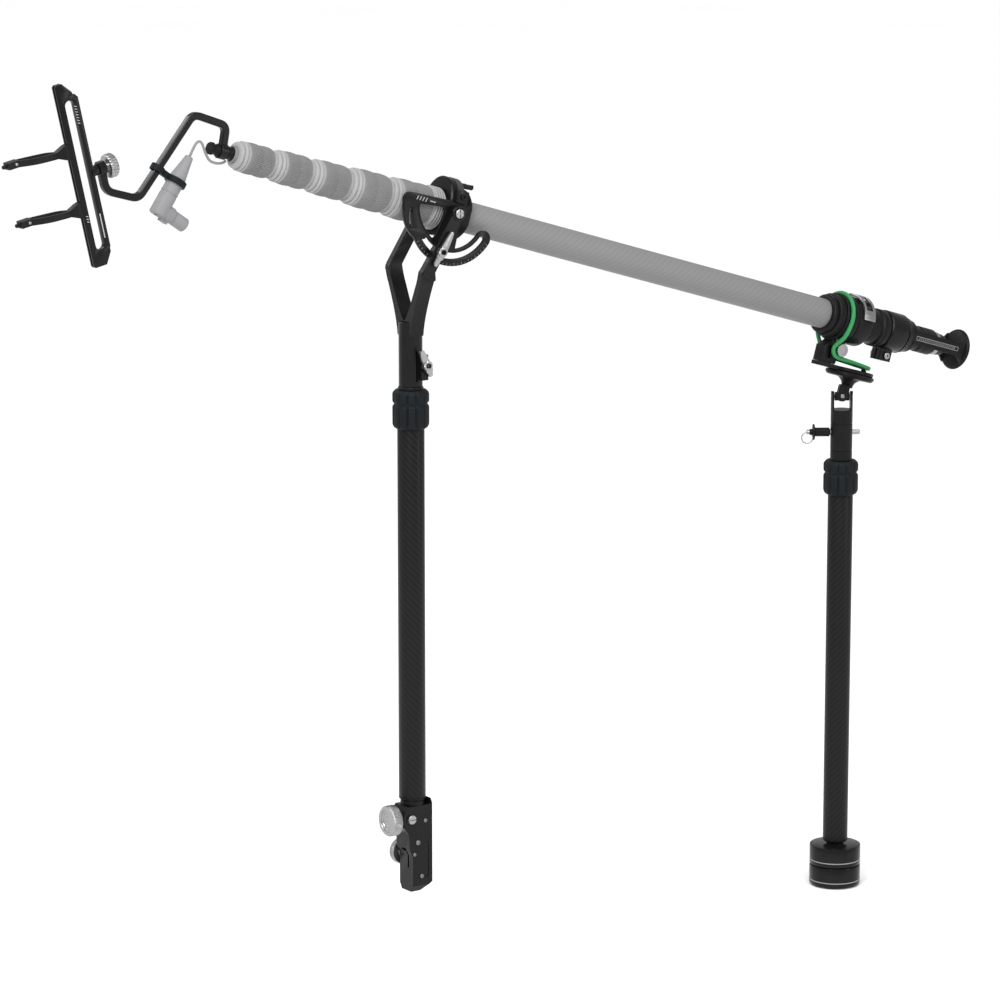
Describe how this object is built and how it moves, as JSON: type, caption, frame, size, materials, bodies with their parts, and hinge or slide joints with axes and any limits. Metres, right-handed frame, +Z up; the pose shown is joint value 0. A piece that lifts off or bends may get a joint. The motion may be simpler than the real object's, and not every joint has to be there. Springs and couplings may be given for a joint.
{
  "type": "body-worn boom pole",
  "caption": "Collapsed telescopic boom pole in a tilting cradle on a short mast, with a microphone suspension at the tip and a hanging counterweight arm near the tail.",
  "frame": {"origin": "centre of the base bracket's flat face, where it bolts to a carrying plate", "axes": "+Z up along the mast, +X from the boom's tip towards its tail and out of the mounting face, +Y to the far side"},
  "size_m": [1.3782, 0.0892, 1.0873],
  "materials": {
    "black_anodised": "satin black anodised",
    "black_carbon": "satin woven carbon tube",
    "grey_carbon": "satin woven carbon tube seen through a pale haze",
    "grey_grip": "ribbed satin grip",
    "rubber": "matt",
    "silver": "bright machined",
    "black_plastic": "satin",
    "grey_plastic": "satin",
    "grey_cable": "matt",
    "green_elastic": "woven elastic",
    "black_steel": "glossy black plated"
  },
  "bodies": {
    "base": {"base_bracket": "black_anodised", "mast_foot": "black_anodised", "mast_outer_tube": "black_carbon"},
    "base_clamp_knob": {"base_clamp_knob": "silver"},
    "base_back_knob": {"base_back_knob": "silver"},
    "mast_lock_collar": {"mast_lock_collar": "rubber"},
    "mast_slider": {"mast_inner_tube": "black_anodised"},
    "fork": {"fork_yoke": "black_anodised", "pivot_screw_near": "silver", "pivot_screw_far": "silver"},
    "head_lever": {"head_lever": "silver"},
    "fork_lever": {"fork_lever": "silver"},
    "cradle": {"cradle_ring": "black_anodised", "cradle_liner": "black_plastic", "quadrant_plate": "black_anodised"},
    "cradle_cap": {"cradle_cap": "black_anodised"},
    "cradle_cap_lever": {"cradle_cap_lever": "black_plastic"},
    "boom_1": {"boom_main_tube": "grey_carbon", "boom_butt_ring": "rubber"},
    "boom_collar_1": {"boom_collar_1": "grey_grip"},
    "boom_collar_2": {"boom_collar_2": "grey_grip"},
    "boom_collar_3": {"boom_collar_3": "grey_grip"},
    "boom_collar_4": {"boom_collar_4": "grey_grip"},
    "boom_collar_5": {"boom_collar_5": "grey_grip"},
    "boom_2": {"boom_tube_2": "grey_carbon"},
    "boom_3": {"boom_tube_3": "grey_carbon"},
    "boom_4": {"boom_tube_4": "grey_carbon"},
    "boom_5": {"boom_tube_5": "grey_carbon"},
    "boom_6": {"boom_tube_6": "grey_carbon", "boom_tip_fitting": "black_anodised"},
    "tip_thumb_nut": {"tip_thumb_nut": "black_anodised"},
    "offset_arm": {"offset_arm": "black_anodised", "plug_housing": "grey_plastic", "plug_boot": "grey_plastic", "plug_strap": "rubber", "mic_lead": "grey_cable"},
    "suspension_bar": {"suspension_bar": "black_anodised"},
    "suspension_knob": {"suspension_knob": "silver"},
    "lyre_1": {"lyre_1": "black_plastic"},
    "lyre_2": {"lyre_2": "black_plastic"},
    "rear_clamp": {"rear_ring": "black_anodised", "rear_front_ring": "rubber", "hanger_platform": "black_anodised", "elastic_band": "green_elastic"},
    "rear_latch": {"rear_latch": "silver"},
    "band_rollers": {"band_rollers": "silver"},
    "hanger_disc": {"hanger_disc": "black_anodised"},
    "joint_cross": {"joint_cross": "black_anodised"},
    "counter_arm": {"arm_head": "black_anodised", "arm_inner_tube": "black_anodised"},
    "arm_lock_pin": {"arm_lock_pin": "silver"},
    "arm_tube": {"arm_outer_tube": "black_carbon", "weight_upper": "black_steel", "weight_lower": "black_steel"},
    "arm_lock_collar": {"arm_lock_collar": "rubber"},
    "tail_cage": {"tail_cage": "black_anodised", "tail_clamp": "black_anodised", "tail_connector_block": "black_plastic"},
    "tail_clamp_screw": {"tail_clamp_screw": "silver"}
  },
  "joints": [
    {"name": "base_clamp_turn", "type": "hinge", "parent": "base", "child": "base_clamp_knob", "pos_m": [-0.019, 0, 0.0365], "axis": [1, 0, 0], "continuous": true},
    {"name": "base_back_turn", "type": "hinge", "parent": "base", "child": "base_back_knob", "pos_m": [-0.02, 0, -0.0095], "axis": [0, 1, 0], "continuous": true},
    {"name": "mast_collar_twist", "type": "hinge", "parent": "base", "child": "mast_lock_collar", "pos_m": [-0.019, 0, 0.5], "axis": [0, 0, 1], "range_deg": [0, 90]},
    {"name": "mast_raise", "type": "slide", "parent": "base", "child": "mast_slider", "axis": [0, 0, 1], "range_m": [0, 0.3]},
    {"name": "fork_swivel", "type": "hinge", "parent": "mast_slider", "child": "fork", "pos_m": [-0.019, 0, 0.6], "axis": [0, 0, 1], "continuous": true},
    {"name": "head_lever_turn", "type": "hinge", "parent": "fork", "child": "head_lever", "pos_m": [-0.011, -0.013, 0.5828], "axis": [0, 1, 0], "range_deg": [-45, 60]},
    {"name": "arc_lever_turn", "type": "hinge", "parent": "fork", "child": "fork_lever", "pos_m": [-0.00384, -0.03, 0.71762], "axis": [0, 1, 0], "range_deg": [-60, 60]},
    {"name": "boom_tilt", "type": "hinge", "parent": "fork", "child": "cradle", "pos_m": [0.023, 0, 0.7598], "axis": [0, 1, 0], "range_deg": [-24, 45]},
    {"name": "cap_open", "type": "hinge", "parent": "cradle", "child": "cradle_cap", "pos_m": [0.02987, 0.026, 0.77236], "axis": [0.9583, 0, -0.2857], "range_deg": [-60, 0]},
    {"name": "cap_lever_turn", "type": "hinge", "parent": "cradle", "child": "cradle_cap_lever", "pos_m": [0.04526, 0, 0.78791], "axis": [0.2857, 0, 0.9583], "range_deg": [0, 60]},
    {"name": "boom_slide", "type": "slide", "parent": "cradle", "child": "boom_1", "axis": [0.9583, 0, -0.2857], "range_m": [-0.3, 0]},
    {"name": "collar_1_twist", "type": "hinge", "parent": "boom_1", "child": "boom_collar_1", "pos_m": [0.023, 0, 0.7598], "axis": [0.9583, 0, -0.2857], "range_deg": [0, 90]},
    {"name": "section_2_slide", "type": "slide", "parent": "boom_1", "child": "boom_2", "axis": [-0.9583, 0, 0.2857], "range_m": [0, 0.45]},
    {"name": "collar_2_twist", "type": "hinge", "parent": "boom_2", "child": "boom_collar_2", "pos_m": [0.023, 0, 0.7598], "axis": [0.9583, 0, -0.2857], "range_deg": [0, 90]},
    {"name": "section_3_slide", "type": "slide", "parent": "boom_2", "child": "boom_3", "axis": [-0.9583, 0, 0.2857], "range_m": [0, 0.45]},
    {"name": "collar_3_twist", "type": "hinge", "parent": "boom_3", "child": "boom_collar_3", "pos_m": [0.023, 0, 0.7598], "axis": [0.9583, 0, -0.2857], "range_deg": [0, 90]},
    {"name": "section_4_slide", "type": "slide", "parent": "boom_3", "child": "boom_4", "axis": [-0.9583, 0, 0.2857], "range_m": [0, 0.45]},
    {"name": "collar_4_twist", "type": "hinge", "parent": "boom_4", "child": "boom_collar_4", "pos_m": [0.023, 0, 0.7598], "axis": [0.9583, 0, -0.2857], "range_deg": [0, 90]},
    {"name": "section_5_slide", "type": "slide", "parent": "boom_4", "child": "boom_5", "axis": [-0.9583, 0, 0.2857], "range_m": [0, 0.45]},
    {"name": "collar_5_twist", "type": "hinge", "parent": "boom_5", "child": "boom_collar_5", "pos_m": [0.023, 0, 0.7598], "axis": [0.9583, 0, -0.2857], "range_deg": [0, 90]},
    {"name": "section_6_slide", "type": "slide", "parent": "boom_5", "child": "boom_6", "axis": [-0.9583, 0, 0.2857], "range_m": [0, 0.45]},
    {"name": "tip_nut_turn", "type": "hinge", "parent": "boom_6", "child": "tip_thumb_nut", "pos_m": [-0.27245, 0, 0.84788], "axis": [0.9583, 0, -0.2857], "continuous": true},
    {"name": "offset_arm_swivel", "type": "hinge", "parent": "boom_6", "child": "offset_arm", "pos_m": [-0.27245, 0, 0.84788], "axis": [0.9583, 0, -0.2857], "range_deg": [-45, 45]},
    {"name": "suspension_turn", "type": "hinge", "parent": "offset_arm", "child": "suspension_bar", "pos_m": [-0.42818, 0, 0.839], "axis": [0.9755, 0, 0.2198], "range_deg": [-90, 90]},
    {"name": "suspension_knob_turn", "type": "hinge", "parent": "suspension_bar", "child": "suspension_knob", "pos_m": [-0.42818, 0, 0.839], "axis": [0.9755, 0, 0.2198], "continuous": true},
    {"name": "lyre_1_slide", "type": "slide", "parent": "suspension_bar", "child": "lyre_1", "axis": [-0.2198, 0, 0.9755], "range_m": [-0.02, 0.02]},
    {"name": "lyre_2_slide", "type": "slide", "parent": "suspension_bar", "child": "lyre_2", "axis": [-0.2198, 0, 0.9755], "range_m": [-0.02, 0.02]},
    {"name": "rear_slide", "type": "slide", "parent": "boom_1", "child": "rear_clamp", "axis": [0.9583, 0, -0.2857], "range_m": [-0.15, 0]},
    {"name": "rear_latch_open", "type": "hinge", "parent": "rear_clamp", "child": "rear_latch", "pos_m": [0.65587, 0.006, 0.604], "axis": [0.9583, 0, -0.2857], "range_deg": [-40, 0]},
    {"name": "band_rollers_turn", "type": "hinge", "parent": "rear_clamp", "child": "band_rollers", "pos_m": [0.61656, 0, 0.54216], "axis": [0, 1, 0], "continuous": true},
    {"name": "hanger_swivel", "type": "hinge", "parent": "rear_clamp", "child": "hanger_disc", "pos_m": [0.64316, 0, 0.50188], "axis": [0.2857, 0, 0.9583], "continuous": true},
    {"name": "joint_upper_pin", "type": "hinge", "parent": "hanger_disc", "child": "joint_cross", "pos_m": [0.63247, 0, 0.48002], "axis": [0.5497, 0.8192, -0.1639], "range_deg": [-9, 30]},
    {"name": "joint_lower_pin", "type": "hinge", "parent": "joint_cross", "child": "counter_arm", "pos_m": [0.63247, 0, 0.48002], "axis": [0.8304, -0.5572, 0], "range_deg": [-45, 45]},
    {"name": "lock_pin_pull", "type": "slide", "parent": "counter_arm", "child": "arm_lock_pin", "axis": [-0.8304, 0.5572, 0], "range_m": [0, 0.03]},
    {"name": "arm_drop", "type": "slide", "parent": "counter_arm", "child": "arm_tube", "axis": [0, 0, -1], "range_m": [0, 0.25]},
    {"name": "arm_collar_twist", "type": "hinge", "parent": "arm_tube", "child": "arm_lock_collar", "pos_m": [0.63247, 0, 0.48002], "axis": [0, 0, 1], "range_deg": [0, 90]},
    {"name": "tail_swivel", "type": "hinge", "parent": "boom_1", "child": "tail_cage", "pos_m": [0.74174, 0, 0.54553], "axis": [0.9583, 0, -0.2857], "continuous": true},
    {"name": "tail_screw_turn", "type": "hinge", "parent": "tail_cage", "child": "tail_clamp_screw", "pos_m": [0.69522, 0, 0.52705], "axis": [0, 1, 0], "continuous": true}
  ]
}
